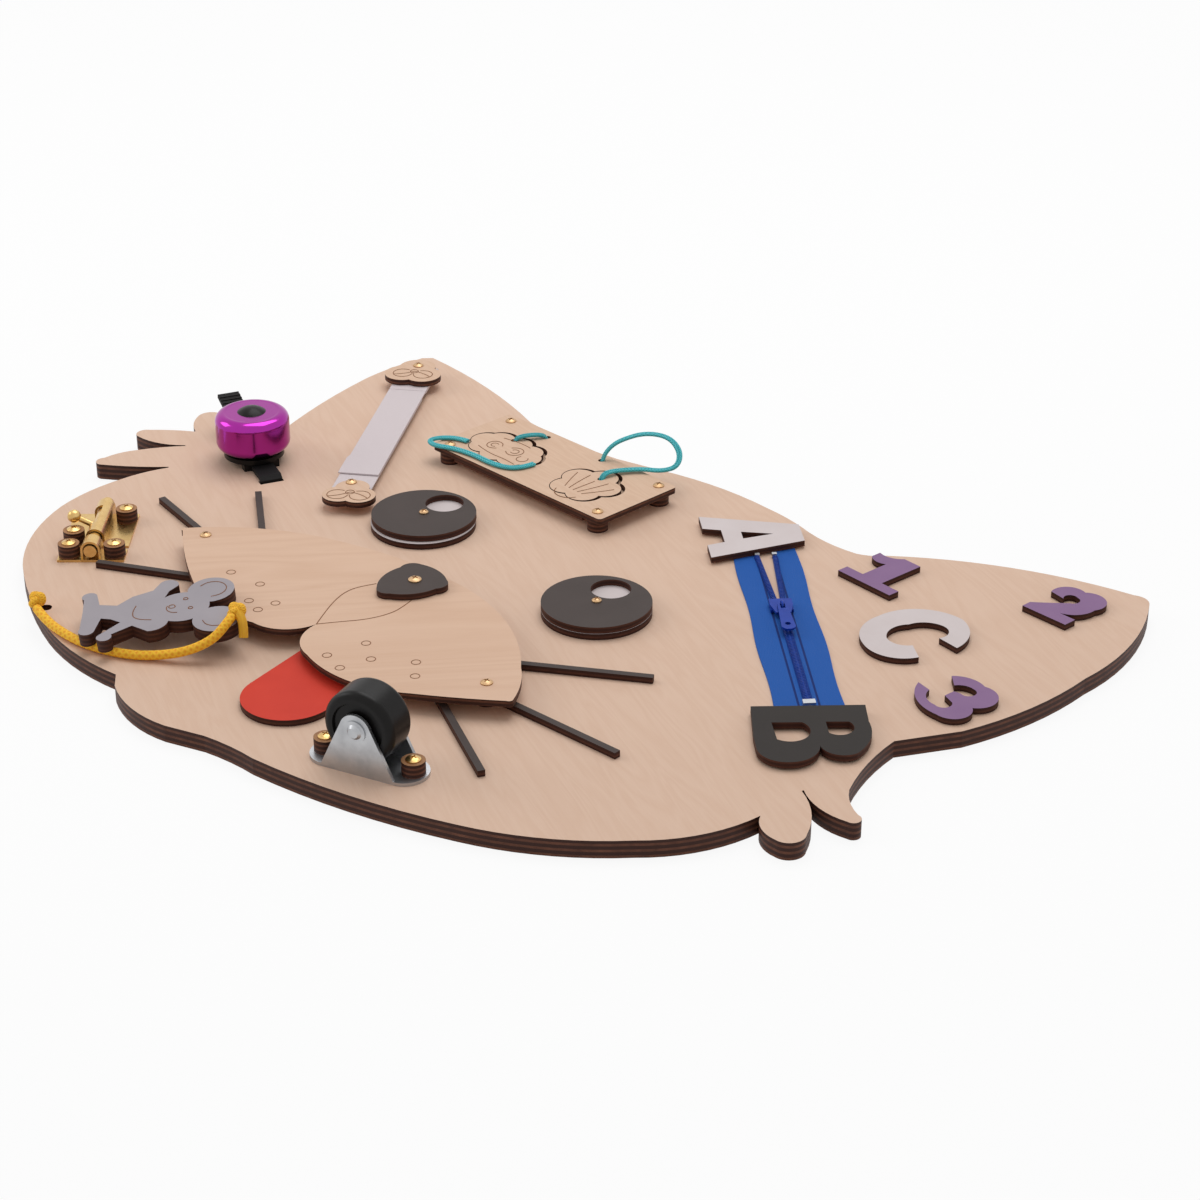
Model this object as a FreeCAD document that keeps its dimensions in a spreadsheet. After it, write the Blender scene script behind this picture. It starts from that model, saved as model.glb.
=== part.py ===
# Wooden busy board: a cat's head of plywood that carries things for small hands to work.
# Every length is in millimetres. The back face lies on z = 0 and +Y points up the cat's face.
import FreeCAD, Part
import math
import os
import Sketcher

V = FreeCAD.Vector
doc = FreeCAD.newDocument("busy_board")

# Driving dimensions
SIZES = [
    ("board_thickness", 8.0), ("ply", 3.0), ("washer_stack", 6.0), ("washer_radius", 5.0),
    ("shank_radius", 1.5), ("pilot_radius", 1.55), ("pilot_depth", 6.5), ("turning_hole", 1.58),
    ("eye_radius", 25.0), ("window_radius", 9.2), ("face_gap", 0.1), ("tape_thickness", 0.8),
    ("whisker_width", 3.2), ("mouse_thickness", 6.0), ("wheel_radius", 16.2), ("wheel_width", 17.0),
    ("axle_radius", 2.5), ("axle_bore", 2.56), ("axle_height", 28.4), ("metal_sheet", 1.5),
    ("cap_radius", 18.4), ("cap_height", 18.2), ("bolt_radius", 3.0), ("strap_width", 19.5),
    ("letter_bottom", 8.9), ("strip", 0.8), ("cord_diameter", 4.2), ("lace_diameter", 1.6),
]
sheet = doc.addObject("Spreadsheet::Sheet", "Sizes")
for row, (alias, value) in enumerate(SIZES, start=1):
    sheet.set("A%d" % row, alias)
    sheet.set("B%d" % row, str(value))
    sheet.setAlias("B%d" % row, alias)
doc.recompute()
S = dict(SIZES)
TOP = S["board_thickness"]
PLY = S["ply"]
RAISED = TOP + S["washer_stack"]
nodes = {}


def rotate(point, degrees, centre=(0.0, 0.0)):
    """A plan point turned about the origin and carried to a centre."""
    c, s = math.cos(math.radians(degrees)), math.sin(math.radians(degrees))
    return (centre[0] + point[0] * c - point[1] * s, centre[1] + point[0] * s + point[1] * c)


def edges_of(path):
    """Edges of an outline: a pair is the next corner, four numbers are an arc's middle and end."""
    here, out = path[0], []
    for step in list(path[1:]) + [path[0]]:
        end = step[-2:]
        if math.dist(here, end) < 1e-6:
            continue
        if len(step) == 4:
            out.append(Part.Arc(V(*here, 0), V(*step[:2], 0), V(*end, 0)))
        else:
            out.append(Part.LineSegment(V(*here, 0), V(*end, 0)))
        here = end
    return out


def plane_of(body, role):
    return next(f for f in body.Origin.OriginFeatures if f.Role == role)


def new_body(name, height):
    """A body whose plan sketch lies at a height given in words of the sheet."""
    body = doc.addObject("PartDesign::Body", name)
    body.Label = name
    body.setExpression("Placement.Base.z", height)
    nodes[name] = body
    return body


def draw(body, name, paths, circles=()):
    """A sketch of closed outlines and of circles whose radii come from the sheet."""
    sketch = body.newObject("Sketcher::SketchObject", name)
    sketch.AttachmentSupport = (plane_of(body, "XY_Plane"), [""])
    sketch.MapMode = "FlatFace"
    for path in paths:
        for edge in edges_of(path):
            number = sketch.addGeometry(edge, False)
            sketch.addConstraint(Sketcher.Constraint("Block", number))
    for x, y, alias in circles:
        number = sketch.addGeometry(Part.Circle(V(x, y, 0), V(0, 0, 1), S[alias]), False)
        sketch.addConstraint(Sketcher.Constraint("DistanceX", number, 3, x))
        sketch.addConstraint(Sketcher.Constraint("DistanceY", number, 3, y))
        radius = sketch.addConstraint(Sketcher.Constraint("Radius", number, S[alias]))
        sketch.setExpression("Constraints[%d]" % radius, "Sizes." + alias)
    return sketch


def plate(name, path, height="Sizes.board_thickness", thickness="Sizes.ply", circles=(), inner=()):
    """A flat piece cut from sheet: one outline, its inner outlines and its round holes."""
    body = new_body(name, height)
    sketch = draw(body, name + "_outline", [path] + list(inner), circles)
    pad = body.newObject("PartDesign::Pad", name + "_pad")
    pad.Profile = sketch
    pad.setExpression("Length", thickness)
    return body


def group(name, solids):
    """Separate like solids that share one node."""
    piece = doc.addObject("Part::Feature", name)
    piece.Shape = Part.makeCompound(solids) if len(solids) > 1 else solids[0]
    piece.Label = name
    nodes[name] = piece
    return piece


def cylinder(x, y, low, high, radius):
    return Part.makeCylinder(radius, high - low, V(x, y, low))


def ring(x, y, low, high, radius, bore):
    return cylinder(x, y, low, high, radius).cut(cylinder(x, y, low, high, bore))


def prism(path, low, high):
    wire = Part.Wire([edge.toShape() for edge in edges_of(path)])
    face = Part.Face(wire)
    solid = face.extrude(V(0, 0, high - low))
    solid.translate(V(0, 0, low))
    return solid


def block(length, width, low, high, centre, turn=0.0, offset=(0.0, 0.0)):
    """An upright block, turned in plan about a centre after it is offset from it."""
    solid = Part.makeBox(length, width, high - low,
                         V(offset[0] - length / 2, offset[1] - width / 2, low))
    solid.rotate(V(0, 0, 0), V(0, 0, 1), turn)
    solid.translate(V(centre[0], centre[1], 0))
    return solid


def screw(x, y, seat, length, head=2.7):
    """A pan-head wood screw with a cross recess, seated at a height."""
    profile = [V(0, 0, seat - length), V(S["shank_radius"], 0, seat - length + 2),
               V(S["shank_radius"], 0, seat), V(head, 0, seat), V(head, 0, seat + 0.5)]
    crown = Part.Arc(V(head, 0, seat + 0.5), V(head * 0.6, 0, seat + 1.2), V(0, 0, seat + 1.5))
    lines = [Part.LineSegment(a, b) for a, b in zip(profile, profile[1:])]
    lines += [crown, Part.LineSegment(V(0, 0, seat + 1.5), profile[0])]
    face = Part.Face(Part.Wire([line.toShape() for line in lines]))
    solid = face.revolve(V(0, 0, 0), V(0, 0, 1), 360)
    for turn in (20, 110):
        slot = Part.makeBox(3.0, 0.7, 1.2, V(-1.5, -0.35, seat + 0.8))
        slot.rotate(V(0, 0, 0), V(0, 0, 1), turn)
        solid = solid.cut(slot)
    solid.translate(V(x, y, 0))
    return solid


def lobed(cx, cy, rx, ry, count, lobe, turn=0.0):
    """A scalloped outline: equal round lobes set round an ellipse."""
    centres = [(cx + rx * math.cos(math.radians(turn + 360.0 * k / count)),
                cy + ry * math.sin(math.radians(turn + 360.0 * k / count))) for k in range(count)]
    joins = []
    for k in range(count):
        (ax, ay), (bx, by) = centres[k], centres[(k + 1) % count]
        half = math.dist((ax, ay), (bx, by)) / 2
        mx, my = (ax + bx) / 2, (ay + by) / 2
        rise = math.sqrt(lobe * lobe - half * half)
        joins.append((mx + (by - ay) / (2 * half) * rise, my - (bx - ax) / (2 * half) * rise))
    path = [joins[-1]]
    for k in range(count):
        x, y = centres[k]
        reach = math.dist((x, y), (cx, cy))
        path.append((x + (x - cx) / reach * lobe, y + (y - cy) / reach * lobe) + joins[k])
    return path


# Places of the screws that go into the board, in plan
MUZZLE_SCREWS = [(-114.0, -91.0), (80.4, -82.9)]
NOSE_PIVOT = (-8.5, -50.5)
EYE_LEFT, EYE_RIGHT = (-69.4, 3.2), (52.6, 4.2)
PLATE_CENTRE, PLATE_TURN = (-64.0, 80.0), 2.0
PLATE_SCREWS = [rotate((dx, dy), PLATE_TURN, PLATE_CENTRE) for dx in (-53, 53) for dy in (-20.5, 20.5)]
STRAP_TOP, STRAP_FOOT = (-208.0, 110.5), (-117.9, -3.0)
LATCH, LATCH_TURN = (-160.0, -120.5), -42.0
KEEPER_SCREWS = [rotate((19.0, dy), LATCH_TURN, LATCH) for dy in (-10.6, 10.6)]
LATCH_SCREWS = [rotate((5.0, -10.6), LATCH_TURN, LATCH), rotate((-18.0, 10.6), LATCH_TURN, LATCH)]
CASTER, CASTER_TURN = (87.3, -150.6), 21.5
CASTER_SCREWS = [rotate((dx, 0.0), CASTER_TURN, CASTER) for dx in (-20.6, 20.6)]
BELL, STRAP_DIRECTION = (-183.8, -13.9), 161.3
CORD_HOLE = (-117.0, -176.2)
ALL_PILOTS = (MUZZLE_SCREWS + [NOSE_PIVOT, EYE_LEFT, EYE_RIGHT, STRAP_TOP, STRAP_FOOT]
              + PLATE_SCREWS + KEEPER_SCREWS + LATCH_SCREWS + CASTER_SCREWS)

# Board: the cat's head, 8 mm birch plywood cut by laser, with tufts on both cheeks
BOARD = [
    (-225.6, 134.5), (-176, 130.4, -125, 118), (-92, 117.6, -62, 121.3), (-38, 128.4),
    (-6, 135.8, 28, 137.2), (46, 136, 60, 133.2), (75, 131.9, 90, 133.6), (96, 137, 101, 142.6),
    (148, 176.3, 203, 196.8), (209, 197.8, 213, 195), (229.5, 163.5, 236.9, 120),
    (237.4, 80, 231, 47.5), (217.5, 20.6), (223.2, -3, 231, -20.5), (236.8, -26.6, 246.4, -31.7),
    (250.2, -35, 247, -38.4), (233, -39.6, 219.2, -34.4), (219, -35.4), (233.4, -44.6, 242.8, -57),
    (243.4, -65, 237, -68.6), (228.5, -67.4, 221, -60.6), (214.8, -88.5, 200.9, -109.6),
    (177, -134, 146.4, -153.3), (101, -171.6, 52, -183.5), (37, -185, 24, -187.9), (6, -195.4),
    (-15, -197.7, -36, -192.4), (-44, -186.6), (-72, -189.4, -100, -186), (-132, -175.6, -160.2, -162),
    (-185.6, -140.6, -202, -115), (-207.4, -96, -208.6, -76), (-207.4, -63, -204.2, -51.6),
    (-205, -51.2), (-217.5, -64.4, -230.5, -75.2), (-234.8, -74.4, -235.5, -69), (-235, -59, -232, -51),
    (-226.8, -40.6, -220, -30.6), (-221, -30.4), (-233, -39.2, -246.5, -42), (-251, -38.4, -249, -33.2),
    (-240.6, -24.4, -231.4, -17), (-232.2, -16.4), (-240.5, -11.8, -247, -4), (-246.8, 2.6, -241, 5.8),
    (-226, 10.4, -209, 12), (-201.5, 14.5), (-216.4, 51, -227.8, 91), (-229.9, 110, -229.3, 130),
]
board = plate("base_board", BOARD, "0 mm", "Sizes.board_thickness")
doc.recompute()
solid_volume = board.Shape.Volume
pilots = draw(board, "pilot_holes", [], [(x, y, "pilot_radius") for x, y in ALL_PILOTS])
pilots.setExpression("AttachmentOffset.Base.z", "Sizes.board_thickness")
pocket = board.newObject("PartDesign::Pocket", "pilot_pocket")
pocket.Profile = pilots
pocket.setExpression("Length", "Sizes.pilot_depth")
near_slot = [rotate(p, STRAP_DIRECTION, BELL) for p in ((-30, -6), (-26, -6), (-26, 6), (-30, 6))]
far_slot = [rotate(p, STRAP_DIRECTION, BELL) for p in ((21, -6), (25, -6), (25, 6), (21, 6))]
cord_hole = lobed(CORD_HOLE[0], CORD_HOLE[1], 0.6, 0.6, 4, 2.2)
slots = draw(board, "strap_slots", [near_slot, far_slot, cord_hole])
slot_cut = board.newObject("PartDesign::Pocket", "slot_pocket")
slot_cut.Profile = slots
slot_cut.Reversed = True
slot_cut.setExpression("Length", "Sizes.board_thickness")
channel = [rotate(p, STRAP_DIRECTION, BELL) for p in ((-29, -6), (24, -6), (24, 6), (-29, 6))]
groove = draw(board, "strap_groove", [channel])
groove_cut = board.newObject("PartDesign::Pocket", "groove_pocket")
groove_cut.Profile = groove
groove_cut.Reversed = True
groove_cut.Length = 2.6
doc.recompute()
cut_volume = solid_volume - board.Shape.Volume
print("board holes cut", round(cut_volume), "mm3")
assert cut_volume > 1500

# Muzzle: one raised plate on washers, its nose plate and the swinging tongue beneath it
MUZZLE = [
    (-126.3, -93.2), (-97, -63.8, -62, -46.6), (-31, -38, 0, -34.8), (44, -41.6, 80, -63.6),
    (90.4, -72.6, 98.4, -83.4), (98.8, -85.2, 97.4, -86.6), (82.4, -99.6, 66, -112.2),
    (38.5, -125.4, 10, -124.4), (-4.6, -116.6, -9.3, -105), (-13.6, -116.8, -29, -124.6),
    (-51, -128.4, -74, -124), (-101, -111.2, -125.2, -96.2), (-127.2, -94.8, -126.3, -93.2),
]
plate("muzzle_plate", MUZZLE, "Sizes.board_thickness + Sizes.washer_stack",
      circles=[(x, y, "turning_hole") for x, y in MUZZLE_SCREWS + [NOSE_PIVOT]])
NOSE = [(-19, -38.8), (-8, -37, 1, -39.8), (4.8, -42.8, 4.2, -48.6), (0.4, -61, -6, -67),
        (-10.6, -69.4, -14.6, -67.4), (-20.6, -60, -22.8, -47.4), (-22.6, -41.2, -19, -38.8)]
plate("nose", NOSE, "Sizes.board_thickness + Sizes.washer_stack + Sizes.ply + Sizes.face_gap",
      circles=[NOSE_PIVOT + ("turning_hole",)])
TONGUE_TURN = -70.6
tongue_shape = [(-11.5, 0), (0, 11.5, 4, 10.8), (60, 17.6), (98, 20.4), (121.0, 0, 98, -20.4),
                (60, -17.6), (4, -10.8), (0, -11.5, -11.5, 0)]
TONGUE = [sum((rotate(step[k:k + 2], TONGUE_TURN, NOSE_PIVOT) for k in range(0, len(step), 2)), ())
          for step in tongue_shape]
plate("tongue", TONGUE, "Sizes.board_thickness + Sizes.face_gap",
      "Sizes.ply - Sizes.face_gap", [NOSE_PIVOT + ("turning_hole",)])

# Eyes: a painted base disc under a turning disc with a round window
WINDOWS = {"left": (-70.8, 17.0), "right": (48.2, 16.8)}
for side, centre, base_shift in (("left", EYE_LEFT, (1.5, -1.6)), ("right", EYE_RIGHT, (0.2, -0.2))):
    low = (centre[0] + base_shift[0], centre[1] + base_shift[1])
    body = plate("eye_base_" + side, [(low[0] - 25, low[1]), (low[0], low[1] + 25, low[0] + 25, low[1]),
                                     (low[0], low[1] - 25, low[0] - 25, low[1])],
                 circles=[centre + ("turning_hole",)])
    disc = new_body("eye_disc_" + side, "Sizes.board_thickness + Sizes.ply + Sizes.face_gap")
    sketch = draw(disc, "disc_" + side, [], [centre + ("eye_radius",), centre + ("turning_hole",),
                                            WINDOWS[side] + ("window_radius",)])
    pad = disc.newObject("PartDesign::Pad", "disc_pad_" + side)
    pad.Profile = sketch
    pad.setExpression("Length", "Sizes.ply")

# Whiskers: six square strips glued to the board, their inner ends under the muzzle
WHISKERS = [((-146.8, -38.0), (-106, -64.6)), ((-172.6, -76.6), (-121, -84.2)),
            ((-135.7, -137.0), (-89, -108.6)), ((115.4, -19.6), (60, -60.2)),
            ((151.2, -73.0), (87.6, -79.4)), ((125.4, -123.4), (66, -97.9))]
strips = []
for outer, inner in WHISKERS:
    length = math.dist(outer, inner)
    turn = math.degrees(math.atan2(inner[1] - outer[1], inner[0] - outer[0]))
    middle = ((outer[0] + inner[0]) / 2, (outer[1] + inner[1]) / 2)
    strips.append(block(length, S["whisker_width"], TOP, TOP + PLY, middle, turn))
group("whiskers", strips)

# Lacing plate: a raised plate with two cut-outs, a backing below, and an inlay in each
CUTOUTS = {"cloud": (-93.0, 75.5, 15.2, 7.2, 8), "shell": (-35.5, 78.0, 9.6, 9.6, 5)}
outline = []
for sx, sy in ((-1, -1), (1, -1), (1, 1), (-1, 1)):
    corner = [(60 * sx, 24 * sy), (59.4 * sx, 25.4 * sy), (58 * sx, 26 * sy)]
    if sx != sy:
        corner.reverse()
    corner = [rotate(p, PLATE_TURN, PLATE_CENTRE) for p in corner]
    outline += [corner[0], corner[1] + corner[2]]
LACE_HOLES = [(-90.3, 99.6), (-51.9, 101.2)]
openings = [lobed(*CUTOUTS["cloud"], 8.9), lobed(*CUTOUTS["shell"], 9.5, 18)]
plate("lacing_plate", outline, "Sizes.board_thickness + Sizes.washer_stack",
      circles=[(x, y, "turning_hole") for x, y in PLATE_SCREWS + LACE_HOLES], inner=openings)
backing = [rotate(p, PLATE_TURN, PLATE_CENTRE) for p in ((-46, -24), (46, -24), (46, 18), (-46, 18))]
plate("lacing_backing", backing, "Sizes.board_thickness + Sizes.washer_stack - Sizes.ply")
INLAY_HOLES = {"cloud": (-98.6, 84.4), "shell": (-36.0, 86.4)}
for name, lobe, turn in (("cloud", 7.7, 0), ("shell", 8.3, 18)):
    x, y, reach_x, reach_y, lobes = CUTOUTS[name]
    plate("inlay_" + name, lobed(x - 0.5, y - 0.6, reach_x, reach_y, lobes, lobe, turn),
          "Sizes.board_thickness + Sizes.washer_stack + Sizes.face_gap",
          circles=[INLAY_HOLES[name] + ("turning_hole",)])

# Hook-and-loop strap between two scalloped end plates: a loop strip and the strip that peels off
STRAP_TURN = math.degrees(math.atan2(STRAP_FOOT[1] - STRAP_TOP[1], STRAP_FOOT[0] - STRAP_TOP[0]))
STRAP_LENGTH = math.dist(STRAP_TOP, STRAP_FOOT)
STRAP_LOW = TOP + PLY
HALF = S["strap_width"] / 2
strip_cut = [rotate(p, STRAP_TURN, STRAP_TOP) for p in
             ((34, -HALF), (STRAP_LENGTH + 5, -HALF), (STRAP_LENGTH + 5, HALF), (34, HALF))]
plate("strap_lower_strip", strip_cut, "Sizes.board_thickness + Sizes.ply", "Sizes.strip",
      [STRAP_FOOT + ("turning_hole",)])
root_cut = [rotate(p, STRAP_TURN, STRAP_TOP) for p in ((-5, -HALF), (25.5, -HALF), (25.5, HALF), (-5, HALF))]
plate("strap_upper_root", root_cut, "Sizes.board_thickness + Sizes.ply", "2 * Sizes.strip + 0.1",
      [STRAP_TOP + ("turning_hole",)])
flap_end = STRAP_LENGTH - 15
flap_cut = [rotate(p, STRAP_TURN, STRAP_TOP) for p in
            ((25.8, -HALF), (flap_end, -HALF - 1), (flap_end, HALF), (25.8, HALF))]
plate("strap_flap", flap_cut, "Sizes.board_thickness + Sizes.ply + Sizes.strip + 0.1", "Sizes.strip")
for name, screw_at, centre, turn, reach, layers in (
        ("upper", STRAP_TOP, (-203.4, 104.2), 126, 6.2, "2 * Sizes.strip + 0.1"),
        ("lower", STRAP_FOOT, (-109.6, -10.2), 130, 5.4, "Sizes.strip")):
    plate("strap_plate_" + name, lobed(*centre, reach, reach, 3, 1.55 * reach, turn),
          "Sizes.board_thickness + Sizes.ply + Sizes.face_gap + " + layers, circles=[screw_at + ("turning_hole",)])

# Zipper: two tapes with their coils, end stops, slider and pull tab, clamped by two letters
ZIP_START, ZIP_TURN = (64.0, 99.6), -37.5
ZIP_LENGTH, SLIDER_AT, TAPE_HALF = 137.0, 55.0, 15.0
for side, sign in (("left", -1), ("right", 1)):
    tape = [(-14, sign * 3.2), (0, sign * 3.2), (SLIDER_AT, sign * 0.25), (ZIP_LENGTH + 14, sign * 0.25),
            (ZIP_LENGTH + 14, sign * TAPE_HALF), (SLIDER_AT, sign * TAPE_HALF), (-14, sign * (TAPE_HALF + 1))]
    plate("zipper_tape_" + side, [rotate(p, ZIP_TURN, ZIP_START) for p in tape], thickness="Sizes.tape_thickness")
    coil = [(2.2, sign * 3.2), (SLIDER_AT, sign * 0.25), (ZIP_LENGTH, sign * 0.25),
            (ZIP_LENGTH, sign * 2.0), (SLIDER_AT, sign * 2.0), (2.2, sign * 4.9)]
    plate("zipper_coil_" + side, [rotate(p, ZIP_TURN, ZIP_START) for p in coil],
          "Sizes.board_thickness + Sizes.tape_thickness", "1.4 mm")
coil_top = TOP + S["tape_thickness"]
group("zipper_stops", [
    block(2.0, 2.2, coil_top, coil_top + 1.6, ZIP_START, ZIP_TURN, (1.0, -4.0)),
    block(2.0, 2.2, coil_top, coil_top + 1.6, ZIP_START, ZIP_TURN, (1.0, 4.0)),
    block(3.4, 5.4, coil_top, coil_top + 1.8, ZIP_START, ZIP_TURN, (ZIP_LENGTH + 1.8, 0))])
slider_top = coil_top + 1.7
slider_body = [(-6.5, -5.2), (-6.5, 5.2), (-1, 5.2), (6.5, 3.4), (6.5, -3.4), (-1, -5.2)]
slider = prism(slider_body, slider_top, slider_top + 1.2)
for y in (-4.6, 4.6):
    slider = slider.fuse(block(7, 1.2, coil_top + 0.2, slider_top, (-1.5, y)))
bail = Part.makeTorus(2.2, 0.55, V(0.5, 0, slider_top + 1.2), V(0, 1, 0)).common(
    Part.makeBox(8, 4, 4, V(-4, -2, slider_top + 1.0)))
slider = slider.fuse(bail)
slider.rotate(V(0, 0, 0), V(0, 0, 1), ZIP_TURN)
SLIDER = rotate((SLIDER_AT, 0), ZIP_TURN, ZIP_START)
slider.translate(V(SLIDER[0], SLIDER[1], 0))
group("zipper_slider", [slider])
pull_low = slider_top + 1.6
pull = prism([(-0.2, -2.1), (-0.2, 2.1), (10, 2.6), (22, 3.2), (24.5, 0, 22, -3.2), (10, -2.6)], pull_low, pull_low + 0.9)
pull = pull.cut(Part.makeBox(4.1, 2.2, 3, V(0.8, -1.1, pull_low - 1)))
pull = pull.cut(cylinder(19.5, 0, pull_low - 1, pull_low + 3, 1.3))
pull.rotate(V(0, 0, 0), V(0, 0, 1), ZIP_TURN)
pull.translate(V(SLIDER[0], SLIDER[1], 0))
group("zipper_pull", [pull])


def placed(points, turn, centre):
    """A letter's outline, drawn upright round its own middle, then turned and carried."""
    return [sum((rotate(step[k:k + 2], turn, centre) for k in range(0, len(step), 2)), ()) for step in points]


# Letters and numbers: plain block forms of 3 mm plywood, two of them clamping the zipper
A_OUT = [(-21.5, -23), (-8.6, 23), (8.6, 23), (21.5, -23), (8.6, -23), (6.2, -14.5), (-6.2, -14.5), (-8.6, -23)]
A_HOLE = [(-3.6, -5.4), (0, 9.5), (3.6, -5.4)]
plate("letter_a", placed(A_OUT, -36, (49.2, 106.4)), "Sizes.letter_bottom", inner=[placed(A_HOLE, -36, (49.2, 106.4))])
B_OUT = [(162.4, -8), (193.6, 28.6), (204, 19.6), (215.4, 7.6, 218.3, -2.4), (213.4, -9.6, 202.2, -8),
         (208.2, -19, 204.4, -28.4), (197.4, -32.4, 188, -30.2), (180.5, -24.4)]
B_UP = [(192.2, 6.2), (198.6, 13.4), (204.9, 5.0, 199.2, 0.8)]
B_LOW = [(177.6, -11), (186, -1.4), (195.6, -12.4, 188.6, -18.8)]
plate("letter_b", B_OUT, "Sizes.letter_bottom", inner=[B_UP, B_LOW])
C_OUT = [(185.6, 95.4), (181.6, 108.4, 170, 117), (150.6, 110.4, 142.6, 92), (145.4, 77.2, 156, 67.8),
         (169.6, 66.8, 180, 77), (171, 83), (165.4, 78.6, 159, 79.4), (154.6, 86.6, 157, 96),
         (161.4, 103.4, 167.6, 106), (173.4, 104, 174.4, 96.4)]
plate("letter_c", C_OUT)
ONE = [(-16, -15.5), (-16, -9.6), (-6, -9.6), (-6, 5.6), (-11, 4.2, -16, 6.6), (-16, 12), (-8, 12.4, -4, 15.8),
       (6, 15.8), (6, -9.6), (16.5, -9.6), (16.5, -15.5)]
plate("number_one", placed(ONE, -1.5, (116.4, 125.8)))
TWO = [(-12.5, -16), (-12.5, -10.6), (-6, -4.6, 1, 2.4), (3.4, 6.4, 0, 9.4), (-3.6, 9.4, -4, 3.8), (-12.6, 5.2),
       (-10.6, 14.6, -1, 16.3), (12.6, 15.6, 13.4, 5.4), (12.4, -1.6, 4, -8.8), (13.2, -8.8), (13.2, -16)]
plate("number_two", placed([tuple(0.95 * v for v in step) for step in TWO], 0, (190.9, 162.2)))
THREE = [(200.4, 75.2), (207.6, 79.5, 216, 78.6), (228.4, 71.6, 224.4, 61), (227, 50.8, 218, 45.9),
         (203, 49.6, 194.6, 60.6), (202, 59.2), (206.6, 52.6, 212, 51.4), (217, 53.6, 215.6, 58.2),
         (209.6, 60.4), (209.8, 65.8), (213, 66.6), (218, 69.8, 214.4, 73.4), (210, 73, 206.6, 69.8)]
plate("number_three", THREE)

# Bell: saddle, post, cap, cap screw, rubber strap, and a sprung striker under the cap
saddle_low, disc_low, disc_high = TOP, TOP + 3.4, TOP + 5.8
disc = cylinder(0, 0, disc_low, disc_high, 15.0)
for x in (-12.5, 12.5):
    disc = disc.fuse(block(4.4, 18, saddle_low, disc_low, (x * 0.86, 0)))
LEVER_TURN = 22
pin_at = rotate((2.0, -10.5), LEVER_TURN)
disc = disc.fuse(cylinder(pin_at[0], pin_at[1], disc_high, disc_high + 2.0, 1.2))
disc.rotate(V(0, 0, 0), V(0, 0, 1), STRAP_DIRECTION)
disc.translate(V(BELL[0], BELL[1], 0))
group("bell_saddle", [disc])
cap_low = TOP + 7.9
cap_high = cap_low + S["cap_height"]
bell_cap = doc.addObject("PartDesign::Body", "bell_cap")
bell_cap.Label = "bell_cap"
bell_cap.Placement = FreeCAD.Placement(V(BELL[0], BELL[1], 0), FreeCAD.Rotation())
cap_sketch = bell_cap.newObject("Sketcher::SketchObject", "cap_profile")
cap_sketch.AttachmentSupport = (plane_of(bell_cap, "XZ_Plane"), [""])
cap_sketch.MapMode = "FlatFace"
R = S["cap_radius"]
cap_path = [(R - 1.6, cap_low), (R - 0.4, cap_low + 1.6, R, cap_low + 4), (R, cap_high - 5),
            (R - 1.2, cap_high - 1.4, R - 5.4, cap_high), (2.0, cap_high), (2.0, cap_high - 1.2),
            (R - 5.8, cap_high - 1.2), (R - 2.2, cap_high - 2.2, R - 1.2, cap_high - 5.2),
            (R - 1.2, cap_low + 4), (R - 1.6, cap_low + 2, R - 2.8, cap_low)]
for edge in edges_of(cap_path):
    cap_sketch.addConstraint(Sketcher.Constraint("Block", cap_sketch.addGeometry(edge, False)))
cap_turn = bell_cap.newObject("PartDesign::Revolution", "cap_revolution")
cap_turn.Profile = cap_sketch
cap_turn.ReferenceAxis = (cap_sketch, ["V_Axis"])
cap_turn.Angle = 360
nodes["bell_cap"] = bell_cap
group("bell_post", [cylinder(BELL[0], BELL[1], disc_high, cap_high - 1.2, 3.0)])
dome = Part.makeSphere(11.0, V(BELL[0], BELL[1], cap_high - 8.4)).common(
    cylinder(BELL[0], BELL[1], cap_high, cap_high + 4, 7.6))
group("bell_cap_screw", [dome.fuse(cylinder(BELL[0], BELL[1], cap_high - 1.2, cap_high + 0.4, 1.9))])
lever = prism([(0.6, -12.6), (-3.4, -10.4), (-14.6, -2.6), (-14.4, -0.4), (-11.8, -0.4), (-1.8, -8.2),
               (4.2, -9.2), (8.0, -20.6), (7.0, -22.4, 5.2, -22.2), (4.4, -20.4)],
              disc_high + 0.1, disc_high + 1.7)
lever = lever.cut(cylinder(2.0, -10.5, disc_high, disc_high + 3, 1.26))
lever = lever.fuse(cylinder(-13.0, -1.6, disc_high + 1.7, disc_high + 6.4, 1.3))
lever.rotate(V(0, 0, 0), V(0, 0, 1), STRAP_DIRECTION + LEVER_TURN)
lever.translate(V(BELL[0], BELL[1], 0))
group("bell_striker", [lever])
spring = block(8.5, 0.5, disc_high, disc_high + 1.4, (9.25, -11.3), 46.4)
spring.rotate(V(0, 0, 0), V(0, 0, 1), STRAP_DIRECTION + LEVER_TURN)
spring.translate(V(BELL[0], BELL[1], 0))
group("bell_striker_spring", [spring])


def band(points, width, thickness):
    """A flat rubber band drawn as its middle line in side view, with square mitred bends."""
    left, right = [], []
    for k, (x, z) in enumerate(points):
        a, b = points[max(k - 1, 0)], points[min(k + 1, len(points) - 1)]
        before = math.atan2(z - a[1], x - a[0]) if k else math.atan2(b[1] - z, b[0] - x)
        after = math.atan2(b[1] - z, b[0] - x) if k < len(points) - 1 else before
        lean = (before + after) / 2
        reach = thickness / 2 / math.cos((after - before) / 2)
        left.append(V(x - math.sin(lean) * reach, -width / 2, z + math.cos(lean) * reach))
        right.append(V(x + math.sin(lean) * reach, -width / 2, z - math.cos(lean) * reach))
    loop = left + right[::-1] + [left[0]]
    return Part.Face(Part.makePolygon(loop)).extrude(V(0, width, 0))


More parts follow.
